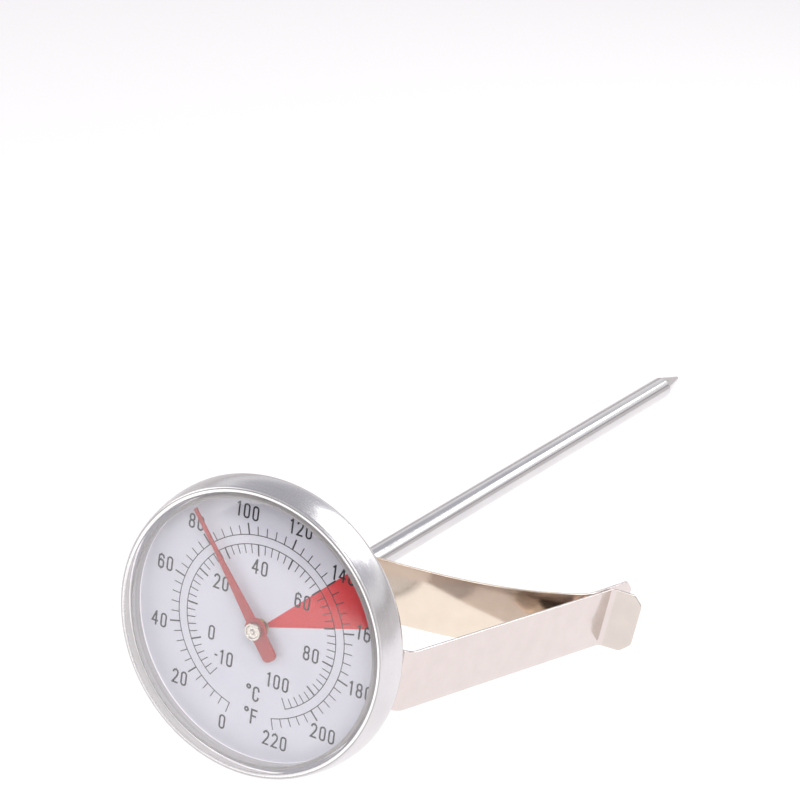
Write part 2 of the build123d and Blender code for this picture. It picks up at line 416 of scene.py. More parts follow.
def satin_steel(name, dull, bright):
    """Rolled stainless sheet, turned and fine-grained: the bezel ring and the case back."""
    finish = Finish(name, Metallic=1.0)
    grain = finish.spun_noise(across=9.0, around=2.2, detail=4.0)
    cloud = finish.noise(finish.position(), 0.12, 3.0)
    fleck = finish.noise(finish.position(), 5.0, 4.0)
    tone = finish.mottle(cloud, dull, bright)
    finish.set("Base Color", finish.blend(finish.span(grain, 0.0, 0.15), tone, dull))
    rough = finish.math("ADD", finish.span(grain, 0.20, 0.25), finish.span(fleck, 0.0, 0.05))
    finish.set("Roughness", rough)
    relief = finish.math("ADD", finish.math("MULTIPLY", grain, 0.2), fleck)
    finish.bump(relief, 0.003, 0.4)
    return finish.material


def polished_steel():
    """Drawn stainless tube: bright, with faint polishing rings."""
    finish = Finish("polished_steel", Metallic=1.0)
    rings = finish.spun_noise(across=5.0, around=0.8, detail=3.0)
    cloud = finish.noise(finish.position(), 0.09, 2.0)
    finish.set("Base Color", finish.mottle(cloud, (0.60, 0.59, 0.60), (0.66, 0.65, 0.655)))
    finish.set("Roughness", finish.span(rings, 0.10, 0.19))
    finish.bump(rings, 0.002, 0.5)
    return finish.material


def spring_steel(name, dull, bright, waviness, jaw_tint=None):
    """Bright rolled strip with long rolling lines; jaw_tint, if any, takes over towards the jaw."""
    finish = Finish(name, Metallic=1.0)
    lines = finish.drawn_noise((30.0, 30.0, 0.22), detail=3.0)
    waves = finish.noise(finish.position(), 0.05, 1.0)
    stain = finish.noise(finish.position(), 0.35, 4.0)
    tone = finish.mottle(stain, dull, bright)
    if jaw_tint:
        along = finish.node("SeparateXYZ", Vector=finish.position()).outputs["Y"]
        tone = finish.blend(finish.ramp(along, *clip_tint_run), tone, jaw_tint)
    finish.set("Base Color", tone)
    finish.set("Roughness", finish.math("ADD", finish.span(lines, 0.08, 0.13), finish.span(stain, 0.0, 0.02)))
    relief = finish.math("ADD", finish.math("MULTIPLY", lines, 0.02), waves)
    finish.bump(relief, waviness, 0.5)
    return finish.material


def clear_plastic():
    """Clear moulded plastic that lets the lamps' light through to the dial."""
    finish = Finish("clear_plastic", Base_Color=(0.985, 0.985, 0.99), IOR=1.49, Transmission_Weight=1.0)
    finish.set("Specular IOR Level", 0.85)
    smear = finish.noise(finish.position(), 0.16, 3.0)
    finish.set("Roughness", finish.span(smear, 0.0, 0.035))
    tree = finish.tree
    through = tree.nodes.new("ShaderNodeBsdfTransparent")
    through.inputs["Color"].default_value = (0.96, 0.96, 0.97, 1.0)
    path = tree.nodes.new("ShaderNodeLightPath")
    mixed = tree.nodes.new("ShaderNodeMixShader")
    tree.links.new(path.outputs["Is Shadow Ray"], mixed.inputs[0])
    tree.links.new(finish.shader.outputs[0], mixed.inputs[1])
    tree.links.new(through.outputs[0], mixed.inputs[2])
    tree.links.new(mixed.outputs[0], tree.nodes["Material Output"].inputs["Surface"])
    return finish.material


def skirt_plastic(name, dull, bright, glow):
    """The crystal's moulded edge: milky and ringed, with a painted glow, and a painted highlight on its last
    part above the dial.
    """
    finish = Finish(name, IOR=1.49, Transmission_Weight=0.1)
    rings = finish.spun_noise(across=1.6, around=0.5, detail=2.0)
    tone = finish.mottle(rings, dull, bright)
    # painted highlight: the last part above the dial is painted brighter and glows
    depth = finish.node("SeparateXYZ", Vector=finish.position()).outputs["Y"]
    painted_highlight = finish.ramp(depth, crystal_back - 0.45, crystal_back - 0.25)
    finish.set("Base Color", finish.blend(painted_highlight, tone, (0.92, 0.90, 0.92)))
    finish.set("Emission Color", tone)
    finish.set("Emission Strength", finish.math("MULTIPLY_ADD", painted_highlight, 0.35, glow))
    finish.set("Roughness", finish.span(rings, 0.06, 0.16))
    finish.bump(rings, 0.02, 0.6)
    return finish.material


def dial_paint():
    """Smooth lacquered dial, faintly mottled."""
    finish = Finish("dial_paint", IOR=1.5)
    cloud = finish.noise(finish.position(), 0.20, 4.0)
    grain = finish.noise(finish.position(), 9.0, 3.0)
    finish.set("Base Color", finish.mottle(cloud, (0.630, 0.625, 0.690), (0.660, 0.655, 0.715)))
    finish.set("Roughness", finish.span(grain, 0.42, 0.55))
    finish.bump(grain, 0.004, 0.4)
    return finish.material


def printed(name, thin, full):
    """Screen-printed ink, slightly uneven in its cover."""
    finish = Finish(name, IOR=1.45)
    cover = finish.noise(finish.position(), 2.2, 4.0)
    finish.set("Base Color", finish.mottle(cover, thin, full))
    finish.set("Roughness", finish.span(cover, 0.44, 0.56))
    finish.bump(finish.noise(finish.position(), 12.0, 2.0), 0.003, 0.4)
    return finish.material


def pointer_enamel():
    """Red enamel on the blade."""
    finish = Finish("pointer_enamel", IOR=1.5, Coat_Weight=0.3, Coat_Roughness=0.2)
    peel = finish.noise(finish.position(), 1.6, 3.0)
    finish.set("Base Color", finish.mottle(peel, (0.34, 0.018, 0.020), (0.42, 0.026, 0.028)))
    finish.set("Roughness", finish.span(peel, 0.32, 0.42))
    finish.bump(peel, 0.006, 0.4)
    return finish.material


def turned_steel():
    """Turned and peened bright steel: the pointer's cap, the spindle and the stem's flange."""
    finish = Finish("turned_steel", Metallic=1.0)
    rings = finish.spun_noise(across=14.0, around=0.6, detail=3.0)
    speck = finish.noise(finish.position(), 6.0, 3.0)
    finish.set("Base Color", finish.mottle(speck, (0.49, 0.45, 0.405), (0.61, 0.57, 0.52)))
    finish.set("Roughness", finish.span(rings, 0.18, 0.34))
    finish.bump(finish.math("ADD", rings, speck), 0.008, 0.6)
    return finish.material


def rubber():
    """Black seal with a dry bloom."""
    finish = Finish("rubber", IOR=1.5)
    bloom = finish.noise(finish.position(), 1.2, 4.0)
    finish.set("Base Color", finish.mottle(bloom, (0.045, 0.044, 0.046), (0.075, 0.073, 0.075)))
    finish.set("Roughness", finish.span(bloom, 0.55, 0.75))
    finish.bump(bloom, 0.01, 0.5)
    return finish.material


def plain_metal(name, dull, bright, rough_low, rough_high, across=8.0):
    """Turned or drawn metal for the pieces of the movement."""
    finish = Finish(name, Metallic=1.0)
    rings = finish.spun_noise(across=across, around=0.8, detail=3.0)
    finish.set("Base Color", finish.mottle(rings, dull, bright))
    finish.set("Roughness", finish.span(rings, rough_low, rough_high))
    finish.bump(rings, 0.004, 0.5)
    return finish.material


finishes = {
    "stainless_head": satin_steel("satin_steel", (0.63, 0.618, 0.625), (0.69, 0.678, 0.69)),
    "stainless_stem": polished_steel(),
    "spring_steel": spring_steel("spring_steel", (0.67, 0.605, 0.58), (0.70, 0.635, 0.61), 0.06),
    "clear_plastic": clear_plastic(),
    "black_rubber": rubber(),
    "dial_paint": dial_paint(),
    "pointer_red": pointer_enamel(),
    "bright_steel": turned_steel(),
    "brass": plain_metal("brass", (0.58, 0.43, 0.17), (0.72, 0.56, 0.26), 0.22, 0.36),
    "bimetal": plain_metal("bimetal", (0.44, 0.42, 0.39), (0.56, 0.54, 0.50), 0.28, 0.42, 4.0),
    "galvanised": plain_metal("galvanised", (0.52, 0.53, 0.55), (0.66, 0.67, 0.69), 0.35, 0.5, 3.0),
}
# painted light: a brighter, warmer copy of the spring steel for the inner arm, which goes darker and pinker
# towards the jaw
painted_light_spring_steel = spring_steel(
    "painted_light_spring_steel", (0.755, 0.66, 0.55), (0.795, 0.70, 0.59), 0.02, (0.68, 0.62, 0.60)
)
# painted shade: a darker copy of the spring steel for the outer arm's lip beyond the ridge
painted_shade_lip_spring_steel = spring_steel("painted_shade_lip_spring_steel", (0.62, 0.565, 0.52), (0.66, 0.605, 0.555), 0.06)
black_ink = printed("black_ink", (0.018, 0.018, 0.022), (0.010, 0.010, 0.012))
red_ink = printed("red_ink", (0.60, 0.018, 0.024), (0.66, 0.026, 0.032))


def dress(piece, body, slot, *nodes, finish=None):
    """Gives a piece its finish, its CAD body and the CAD nodes that it stands for."""
    piece.data.materials.clear()
    piece.data.materials.append(finish or finishes[slot])
    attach(piece, body)
    if nodes:
        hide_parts(*nodes)


def repaint(piece, material, chosen):
    """Gives another material to the faces whose middle, in millimetres, passes a test."""
    number = len(piece.data.materials)
    piece.data.materials.append(material)
    for face in piece.data.polygons:
        if chosen(face.center / MM):
            face.material_index = number


# ---- head ---------------------------------------------------------------------------------------
def make_bezel():
    """The convex band: its front lip folds over the crystal and its rear hem over the case back."""
    lip_y = head_front + bezel_sheet / 2
    band_radius = head_radius - bezel_sheet / 2
    hem_y = -bezel_sheet / 2
    path = rounded_path(
        [
            (lip_inner_radius + bezel_sheet / 2, lip_y),
            (lip_bend_radius, lip_y),
            (band_radius, widest_y),
            (band_radius, hem_y),
            (hem_inner_radius + bezel_sheet / 2, hem_y),
        ],
        (lip_corner, band_curve, rear_corner),
        math.radians(3),
    )
    piece = turned("bezel_band", sheet_outline(path, bezel_sheet, 8), segments=384)
    dress(piece, "thermometer", "stainless_head", "bezel_ring")
    # painted shade: the folded lip's flat face gets a darker copy of the band's satin steel
    painted_shade_lip = satin_steel("painted_shade_lip", (0.38, 0.37, 0.37), (0.44, 0.43, 0.43))
    repaint(piece, painted_shade_lip, lambda middle: middle.y < head_front + 0.05)


def make_case_back():
    """Dished rear cover whose rim is tucked under the bezel's hem."""
    plate_y = -back_sheet / 2
    path = rounded_path(
        [
            (stem_radius + back_sheet / 2, plate_y),
            (back_plate_radius, plate_y),
            (back_step_radius, back_rim_y),
            (back_rim_radius - back_sheet / 2, back_rim_y),
        ],
        (0.6, 0.6),
    )
    piece = turned("rear_cover", sheet_outline(path, back_sheet), segments=288)
    dress(piece, "thermometer", "stainless_head", "case_back")


def make_crystal():
    """Clear cover: a slightly domed face, a step under the bezel's lip, and a skirt down to the dial."""
    edge_y = crystal_front + crystal_dome
    inner_y = edge_y + crystal_thickness
    step_y = gasket_back
    corner = 0.45
    dome_radius = (crystal_flat_radius**2 + crystal_dome**2) / (2 * crystal_dome)
    steps = 24
    front = []
    for i in range(steps + 1):
        r = crystal_flat_radius * i / steps
        front.append(Vector((r, crystal_front + dome_radius - math.sqrt(dome_radius**2 - r**2))))
    wall = rounded_path(
        [
            front[-1],
            (crystal_face_radius, edge_y + 0.05),
            (crystal_face_radius, step_y),
            (crystal_radius, step_y),
            (crystal_radius, crystal_back),
            (skirt_inner_radius, crystal_back),
            (skirt_inner_radius, inner_y),
            (skirt_inner_radius - 1.5, inner_y),
        ],
        (corner, 0.04, 0.12, 0.1, 0.1, 0.6),
    )
    back = []
    inside_radius = skirt_inner_radius - 0.6
    for i in range(steps + 1):
        r = inside_radius * (1 - i / steps)
        back.append(Vector((r, inner_y - crystal_dome + r * r / inside_radius**2 * crystal_dome)))
    outline = front + wall[1:-1] + back[1:]
    piece = turned("crystal_cover", outline, closed=False, segments=384, smooth_angle=50)
    dress(piece, "thermometer", "clear_plastic", "crystal")
    wall_radius = crystal_face_radius - 0.02

    def in_wall(middle):
        return math.hypot(middle.x, middle.z) > wall_radius

    def in_skirt(middle):
        radius = math.hypot(middle.x, middle.z)
        return inside_radius < radius <= wall_radius and middle.y > step_y - 0.05

    # painted light: the outer wall gets a brighter copy of the plastic that glows; painted shade: the skirt's
    # inner face gets a darker copy
    painted_glow_wall_plastic = skirt_plastic("crystal_wall_painted_glow", (0.70, 0.68, 0.67), (0.88, 0.86, 0.86), 0.30)
    painted_shade_skirt_plastic = skirt_plastic("crystal_skirt_painted_shade", (0.36, 0.345, 0.34), (0.56, 0.54, 0.55), 0.02)
    repaint(piece, painted_glow_wall_plastic, in_wall)
    repaint(piece, painted_shade_skirt_plastic, in_skirt)


def make_gasket():
    """Dark seal between the crystal's step and the bezel's lip."""
    path = rounded_path(
        [
            (crystal_face_radius + 0.02, gasket_front),
            (gasket_radius, gasket_front),
            (gasket_radius, gasket_back),
            (crystal_face_radius + 0.02, gasket_back),
            (crystal_face_radius + 0.02, gasket_front),
        ],
        (0.04, 0.04, 0.04),
    )
    piece = turned("lip_seal", path[:-1])
    dress(piece, "thermometer", "black_rubber", "crystal_gasket")


# ---- dial printing ------------------------------------------------------------------------------
def on_dial(angle, radius):
    """The (x, z) point at a clockwise angle in degrees from 12 o'clock."""
    turn = math.radians(angle)
    return Vector((radius * math.sin(turn), radius * math.cos(turn)))


def f_angle(reading):
    """Clockwise angle from 12 o'clock of a Fahrenheit reading."""
    return (reading - top_reading) * degrees_per_f


def c_angle(reading):
    """Clockwise angle from 12 o'clock of a Celsius reading."""
    return f_angle(32 + 1.8 * reading)


def dial_arc(radius, start, end):
    """Points of a printed arc between two clockwise angles."""
    steps = math.ceil(abs(end - start) / 1.5)
    return [on_dial(start + (end - start) * i / steps, radius) for i in range(steps + 1)]


def make_scale(name, radius, outward, readings, angle_of, thick_every, short, long):
    """One printed scale: its arc, and short and long marks whose reach is a share of scale_radius."""
    thin_line, thick_line, arc_line = 0.16, 0.27, 0.15
    bm = bmesh.new()
    first, last = angle_of(readings[0]), angle_of(readings[-1])
    ribbon(bm, dial_arc(radius, first, last), arc_line, ink_front)
    for reading in readings:
        thick = reading % thick_every == 0
        ends = reading in (readings[0], readings[-1])
        width = thick_line if thick and not ends else thin_line
        reach = (long if thick else short) * scale_radius
        start = radius - outward * arc_line / 2
        angle = angle_of(reading)
        line = [on_dial(angle, start), on_dial(angle, radius + outward * reach)]
        # each mark lies a hair deeper than the arc, so that no two faces share a plane
        ribbon(bm, line, width, ink_front + ink_step)
    piece = finish_mesh(name, bm)
    dress(piece, "thermometer", "dial_paint", finish=black_ink)


# sizes of the figures, as shares of their height
glyph_half = 0.172
glyph_top = 0.445
glyph_stroke = 0.118


def glyph_strokes():
    """Condensed figures drawn as (closed, points) strokes in a box one unit high."""
    a, t, s = glyph_half, glyph_top, glyph_stroke
    bowl = 0.04

    def loop(half, bottom, top):
        """A closed upright oval with straight sides."""
        right = arc((0, top - half), half, 0, 180, math.radians(12))
        left = arc((0, bottom + half), half, 180, 360, math.radians(12))
        return (True, right + left)

    def bent(points, *radii):
        return (False, rounded_path(points, radii, math.radians(12)))

    return {
        "0": [loop(a, -t, t)],
        "1": [
            bent([(0.03, -0.5), (0.03, 0.5)]),
            bent([(0.03, t - 0.03), (-0.13, t - 0.13)]),
        ],
        "2": [
            bent(
                [(-a, 0.24), (-a, t), (a, t), (a, 0.10), (-a, -t), (a + s / 2, -t)],
                a, a, 0.5, 0,
            ),
        ],
        "4": [
            bent([(0.08, -0.5), (0.08, 0.5)]),
            bent([(0.06, t - 0.02), (-0.20, -0.20), (0.23, -0.20)], 0),
        ],
        "6": [
            bent(
                [
                    (a, 0.22), (a, t), (-a, t), (-a, -t),
                    (a, -t), (a, bowl + 0.06), (-a, bowl + 0.06), (-a, -0.16),
                ],
                a, a, a, a, a, a,
            ),
        ],
        "8": [loop(a - 0.015, bowl - 0.01, t), loop(a, -t, bowl - 0.01)],
        "C": [bent([(a, 0.18), (a, t), (-a, t), (-a, -t), (a, -t), (a, -0.18)], a, a, a, a)],
        "F": [
            bent([(-a, -0.5), (-a, t), (a + s / 2, t)], 0),
            bent([(-a, bowl), (a - 0.01, bowl)]),
        ],
        "o": [(True, arc((0.02, 0.36), 0.115, 0, 360, math.radians(12))[:-1])],
        "-": [bent([(-0.10, 0.0), (0.10, 0.0)])],
    }


strokes = glyph_strokes()
# each figure and the measured (x, z) of its middle: the Fahrenheit ring first, then the Celsius ring
figures = (
    ("0", (-5.0, -18.9)),
    ("20", (-13.95, -13.95)),
    ("40", (-19.0, -5.0)),
    ("60", (-19.0, 5.2)),
    ("80", (-14.05, 14.0)),
    ("100", (-4.85, 18.9)),
    ("120", (5.1, 19.0)),
    ("140", (13.7, 13.8)),
    ("160", (19.4, 5.3)),
    ("180", (19.35, -4.6)),
    ("200", (13.7, -14.3)),
    ("220", (5.15, -18.7)),
    ("-10", (-6.1, -7.6)),
    ("0", (-8.9, -4.0)),
    ("20", (-8.2, 5.2)),
    ("40", (-1.4, 10.1)),
    ("60", (7.0, 6.95)),
    ("80", (9.75, -1.5)),
    ("100", (4.35, -8.4)),
)
units = (("oC", (0.0, -11.85)), ("oF", (0.1, -15.95)))
# how far each figure moves the next one along
advance = {"1": 0.52, "-": 0.36, "o": 0.50}
normal_advance = 0.645


def draw_words(bm, text, centre, height):
    """Draws upright figures centred on an (x, z) point of the dial."""
    widths = [advance.get(letter, normal_advance) for letter in text]
    x = -sum(widths) / 2
    for letter, width in zip(text, widths):
        middle = x + width / 2
        for depth, (closed, points) in enumerate(strokes[letter]):
            placed = [Vector((centre.x + (p.x + middle) * height, centre.y + p.y * height)) for p in points]
            ribbon(bm, placed, glyph_stroke * height, ink_front + ink_step * depth, closed)
        x += width


def make_figures():
    """The figures of both scales and the two unit marks."""
    bm = bmesh.new()
    for words, height in ((figures, figure_height), (units, unit_height)):
        for text, place in words:
            draw_words(bm, text, Vector(place), height)
    piece = finish_mesh("dial_figures", bm)
    dress(piece, "thermometer", "dial_paint", finish=black_ink)


def make_sector():
    """The red sector between two readings, printed under the black."""
    start, end = (f_angle(reading) for reading in sector_readings)
    inner, outer = 1.6, high("dial_plate").x - 0.3
    front, back = dial_front - 0.012, dial_front - 0.001
    bm = bmesh.new()
    steps = 36
    rows = []
    for i in range(steps + 1):
        angle = start + (end - start) * i / steps
        near, far = on_dial(angle, inner), on_dial(angle, outer)
        corners = ((near, front), (far, front), (far, back), (near, back))
        rows.append([bm.verts.new((p.x, y, p.y)) for p, y in corners])
    bridge(bm, rows)
    piece = finish_mesh("dial_red_sector", bm)
    dress(piece, "thermometer", "dial_paint", finish=red_ink)


# ---- stem ---------------------------------------------------------------------------------------
def make_stem():
    """The long tube and its pointed plug, which meet at a fine joint line."""
    wall = rounded_path(
        [
            (stem_bore_radius, stem_start),
            (stem_radius, stem_start),
            (stem_radius, shoulder_y),
            (stem_bore_radius, shoulder_y),
            (stem_bore_radius, stem_start),
        ],
        (0.05, 0.04, 0.0),
    )
    tube = turned("probe_tube", wall[:-1], segments=96)
    dress(tube, "thermometer", "stainless_stem", "stem_tube")
    point = rounded_path(
        [
            (0, shoulder_y - 1.5),
            (stem_bore_radius, shoulder_y - 1.5),
            (stem_bore_radius, shoulder_y),
            (stem_radius, shoulder_y),
            (stem_radius, shoulder_y + 0.15),
            (0.35, stem_end),
            (0, stem_end),
        ],
        (0, 0, 0.04, 1.5, 0.3),
    )
    tip = turned("probe_tip", point, closed=False, segments=96)
    dress(tip, "thermometer", "stainless_stem", "stem_tip")


# ---- pointer ------------------------------------------------------------------------------------
def pointer_outline():
    """The blade's outline in its own (across, along) axes."""
    root, waist, tip = 0.065 * scale_radius, 0.023 * scale_radius, 0.019 * scale_radius
    tail_half = 0.0875 * scale_radius
    tail_corner = 0.95
    # the blade's edge leaves the disc where its distance from the centre is the disc's radius
    narrowing = (root - waist) / pointer_waist
    a, b, c = 1 + narrowing**2, -2 * root * narrowing, root**2 - pointer_disc**2
    along = (-b + math.sqrt(b * b - 4 * a * c)) / (2 * a)
    blade_turn = math.degrees(math.atan2(along, root - narrowing * along))
    tail_turn = -math.degrees(math.acos(tail_half / pointer_disc))
    blade = [Vector((tip, pointer_reach)), Vector((waist, pointer_waist))]
    disc = arc((0, 0), pointer_disc, blade_turn, tail_turn, math.radians(4))
    tail = arc((tail_half - tail_corner, tail_corner - pointer_tail), tail_corner, 0, -90, math.radians(8))
    half = blade + disc + tail
    mirrored = [Vector((-p.x, p.y)) for p in reversed(half)]
    return half + mirrored


def make_pointer():
    """The red blade, with softened edges."""
    bm = bmesh.new()
    turn = Matrix.Rotation(math.radians(f_angle(rest_reading)), 3, "Y")
    back = [bm.verts.new(turn @ Vector((p.x, pointer_back, p.y))) for p in pointer_outline()]
    face = bm.faces.new(back)
    grown = bmesh.ops.extrude_face_region(bm, geom=[face])["geom"]
    front = [v for v in grown if isinstance(v, bmesh.types.BMVert)]
    bmesh.ops.translate(bm, verts=front, vec=(0, pointer_front - pointer_back, 0))
    raised = set(front)
    rim = [e for e in bm.edges if e.verts[0] in raised and e.verts[1] in raised]
    bmesh.ops.bevel(bm, geom=rim, offset=0.07, segments=3, profile=0.5, affect="EDGES")
    piece = finish_mesh("pointer_blade", bm, 30)
    dress(piece, "pointer", "pointer_red", "pointer")


def make_cap():
    """Bright disc riveted over the blade: a soft rim, a shallow ring and a peened middle."""
    rim_y = cap_front + 0.12
    outline = rounded_path(
        [
            (0, cap_front + 0.02),
            (0.30, cap_front),
            (0.48, cap_front + 0.30),
            (1.02, cap_front + 0.30),
            (1.14, rim_y),
            (cap_radius, rim_y),
            (cap_radius, cap_back),
            (0.5, cap_back),
            (0, cap_back),
        ],
        (0.12, 0.08, 0.08, 0.06, 0.12, 0.03, 0),
        math.radians(10),
    )
    piece = turned("pointer_boss", outline, closed=False, segments=128, smooth_angle=50)
    dress(piece, "pointer", "bright_steel", "pointer_cap")


# ---- clip ---------------------------------------------------------------------------------------
def in_clip(rho, y, across):
    """A point of the clip's own plane, swung to its rest place about the stem."""
    c, s = math.cos(clip_turn), math.sin(clip_turn)
    return Vector((rho * c + across * s, y, across * c - rho * s))


def lengths_along(path):
    """The distance of each point of a path from its start."""
    total, lengths = 0.0, [0.0]
    for first, second in zip(path, path[1:]):
        total += (second - first).length
        lengths.append(total)
    return lengths


def half_width_at(distance_to_end):
    """Half the strip's width, which narrows to the lip's chamfered and rounded corners."""
    half = clip_width / 2
    corner = rounded_path(
        [(0.0, 0.0), (0.0, half - clip_chamfer), (clip_chamfer, half), (6.0, half)],
        (0.9, 0.9),
        math.radians(6),
    )[1:]
    for first, second in zip(corner, corner[1:]):
        if second.x >= distance_to_end > first.x:
            share = (distance_to_end - first.x) / (second.x - first.x)
            return first.y + (second.y - first.y) * share
    return half if distance_to_end > corner[-1].x else corner[0].y


def fine_path(path, step):
    """The path with more points, so that none lie further apart than step."""
    points = [path[0]]
    for first, second in zip(path, path[1:]):
        count = max(1, math.ceil((second - first).length / step))
        points += [first.lerp(second, i / count) for i in range(1, count + 1)]
    return points


def make_strip(name, path):
    """The clip's strip along a path, with softened edges and the lip's cut corners at its end."""
    lengths = lengths_along(path)
    end_run = (path[-1] - path[-2]).normalized()
    # points close together where the corners are cut
    stations = (2.6, 2.3, 2.0, 1.7, 1.4, 1.0, 0.6, 0.35, 0.2, 0.1, 0.04)
    near_end = [path[-1] - end_run * distance for distance in stations]
    keep = [point for point, length in zip(path, lengths) if length < lengths[-1] - 2.8]
    path = fine_path(keep + near_end + [path[-1]], 1.5)
    lengths = lengths_along(path)
    normals = side_normals(path)
    half_thickness = clip_thickness / 2
    bm = bmesh.new()
    rows = []
    for point, normal, length in zip(path, normals, lengths):
        half = half_width_at(lengths[-1] - length)
        at_end = min(length, lengths[-1] - length)
        inset = clip_edge * max(0.0, 1 - at_end / 0.1) * 0.6
        row = []
        for corner_w, corner_t, turn in ((1, 1, 0), (-1, 1, 90), (-1, -1, 180), (1, -1, 270)):
            centre = (corner_w * (half - clip_edge), corner_t * (half_thickness - clip_edge))
            for p in arc(centre, clip_edge - inset, turn, turn + 90, math.radians(30)):
                middle = point + normal / normal.length * p.y
                row.append(bm.verts.new(in_clip(middle.x, middle.y, p.x)))
        rows.append(row)
    bridge(bm, rows)
    return finish_mesh(name, bm, 30)


def hole_cutter(rho_end, y_start, y_end):
    """A cutter between two y for a round hole on the stem's axis, or one drawn out to rho_end."""
    r = clip_hole_radius
    outline = arc((rho_end, 0), r, -90, 90) + arc((0, 0), r, 90, 270)
    if rho_end == 0:
        outline = arc((0, 0), r, 0, 360)[:-1]
    bm = bmesh.new()
    first = [bm.verts.new(in_clip(p.x, y_start, p.y)) for p in outline]
    face = bm.faces.new(first)
    grown = bmesh.ops.extrude_face_region(bm, geom=[face])["geom"]
    moved = [v for v in grown if isinstance(v, bmesh.types.BMVert)]
    bmesh.ops.translate(bm, verts=moved, vec=(0, y_end - y_start, 0))
    return finish_mesh("cutter", bm)


def make_outer_arm():
    """Base plate behind the case, the outer arm, and the lip that flares away from the stem."""
    path = rounded_path(
        [(clip_split, clip_base_y), clip_corner, clip_ridge, clip_lip_end],
        (clip_corner_bend, clip_ridge_bend),
        math.radians(4),
    )
    arm = make_strip("clip_arm_outer", path)
    cut(arm, hole_cutter(0, clip_base_y - 2, clip_base_y + 2))
    dress(arm, "clip", "spring_steel", "clip_outer_arm")
    # the lip beyond the ridge wears the darker copy of the spring steel, painted shade
    repaint(arm, painted_shade_lip_spring_steel, lambda middle: middle.y > clip_ridge[1])


def smooth_curve(points, start_run, end_run, steps=14):
    """A smooth curve through points that leaves and arrives in given directions."""
    runs = [Vector(start_run)]
    for before, here, after in zip(points, points[1:], points[2:]):
        first, second = (here - before).length, (after - here).length
        blend = (here - before) / first * second + (after - here) / second * first
        runs.append(blend.normalized())
    runs.append(Vector(end_run))
    curve = [points[0]]
    for i in range(len(points) - 1):
        chord = (points[i + 1] - points[i]).length
        for j in range(1, steps + 1):
            u = j / steps
            start_pull, end_pull = points[i] + runs[i] * chord / 3, points[i + 1] - runs[i + 1] * chord / 3
            a = points[i] * (1 - u) ** 3 + start_pull * 3 * u * (1 - u) ** 2
            b = end_pull * 3 * u * u * (1 - u) + points[i + 1] * u**3
            curve.append(a + b)
    return curve


def make_inner_arm():
    """The loop round the far side of the stem, the bowed inner arm, and the jaw's straight lip."""
    corner, ridge = Vector(clip_corner), Vector(clip_ridge)
    run = (ridge - corner).normalized()
    offset = clip_thickness + clip_arm_gap
    inner_ridge = ridge + Vector((-run.y, run.x)) * offset
    meet = inner_ridge - run * 4.2
    loop_angle = math.radians(14.0)
    loop_run = Vector((math.cos(loop_angle), math.sin(loop_angle)))
    loop_corner = Vector((clip_loop_rho, clip_loop_top))
    bow_start = loop_corner + loop_run * 7.5
    loop = rounded_path(
        [(clip_split - clip_arm_gap, clip_base_y), (clip_loop_rho, clip_base_y), loop_corner, bow_start],
        (clip_loop_bend, clip_loop_bend),
        math.radians(4),
    )
    through = [bow_start, Vector((8.4, 26.0)), Vector((20.0, 31.35)), Vector((30.0, 38.85)), meet]
    bow = smooth_curve(through, loop_run, run)
    lip_end = Vector((inner_ridge.x + 6.4 * run.x * 0.85, inner_ridge.y + 6.4 * run.y))
    arm = make_strip("clip_arm_inner", loop + bow[1:] + [lip_end])
    slot_reach = (bow_start.y + 2.0 - clip_base_y) * math.tan(math.radians(3.0)) + 0.3
    cut(arm, hole_cutter(slot_reach, clip_loop_top - 1, clip_loop_top + 7))
    # the inner arm wears the brighter copy of the spring steel, painted light
    dress(arm, "clip_jaw", "spring_steel", "clip_inner_arm", finish=painted_light_spring_steel)


# ---- the object ---------------------------------------------------------------------------------
slot_of = {row["node"]: row["material_slot"] for row in frame["record"]["subparts"]}
for name, node in frame["nodes"].items():
    node.data.materials.clear()
    node.data.materials.append(finishes[slot_of[name]])

make_bezel()
make_case_back()
make_crystal()
make_gasket()
fahrenheit = list(range(0, 221, 4))
celsius = list(range(-10, 101, 2))
make_scale("dial_scale_f", scale_radius, 1, fahrenheit, f_angle, 20, 0.096, 0.126)
make_scale("dial_scale_c", celsius_radius, -1, celsius, c_angle, 10, 0.10, 0.125)
make_figures()
make_sector()
make_stem()
make_pointer()
make_cap()
make_outer_arm()
make_inner_arm()


# ---- stage --------------------------------------------------------------------------------------
def stage_sheet(name, bm, drop, material):
    """A flat piece of the studio, drop metres below the thermometer's lowest point."""
    mesh = bpy.data.meshes.new(name)
    bm.to_mesh(mesh)
    bm.free()
    mesh.materials.append(material)
    sheet = bpy.data.objects.new(name, mesh)
    bpy.context.scene.collection.objects.link(sheet)
    sheet.location = (0, 0, cad_low.z - drop)
    return sheet


def make_floor():
    """A wide pale floor that glows very faintly, so that its shadows stay light."""
    finish = Finish("floor_paint", Roughness=0.9, IOR=1.2, Emission_Strength=0.05)
    finish.set("Emission Color", (1.0, 0.99, 0.99))
    tint = finish.noise(finish.position(), 0.004, 2.0)
    finish.set("Base Color", finish.blend(tint, (0.96, 0.935, 0.925), (0.97, 0.95, 0.94)))
    bm = bmesh.new()
    bmesh.ops.create_circle(bm, cap_ends=True, segments=96, radius=6.0)
    stage_sheet("floor", bm, 0.055, finish.material)


def add_light(name, place, target, size, power):
    """A soft lamp with a rectangular face that looks at a point; the camera doesn't see it."""
    lamp = bpy.data.lights.new(name, "AREA")
    lamp.shape = "RECTANGLE"
    lamp.size, lamp.size_y = size
    lamp.energy = power
    holder = bpy.data.objects.new(name, lamp)
    holder.location = place
    holder.rotation_mode = "QUATERNION"
    holder.rotation_quaternion = (Vector(target) - Vector(place)).to_track_quat("-Z", "Y")
    holder.visible_camera = False
    bpy.context.scene.collection.objects.link(holder)


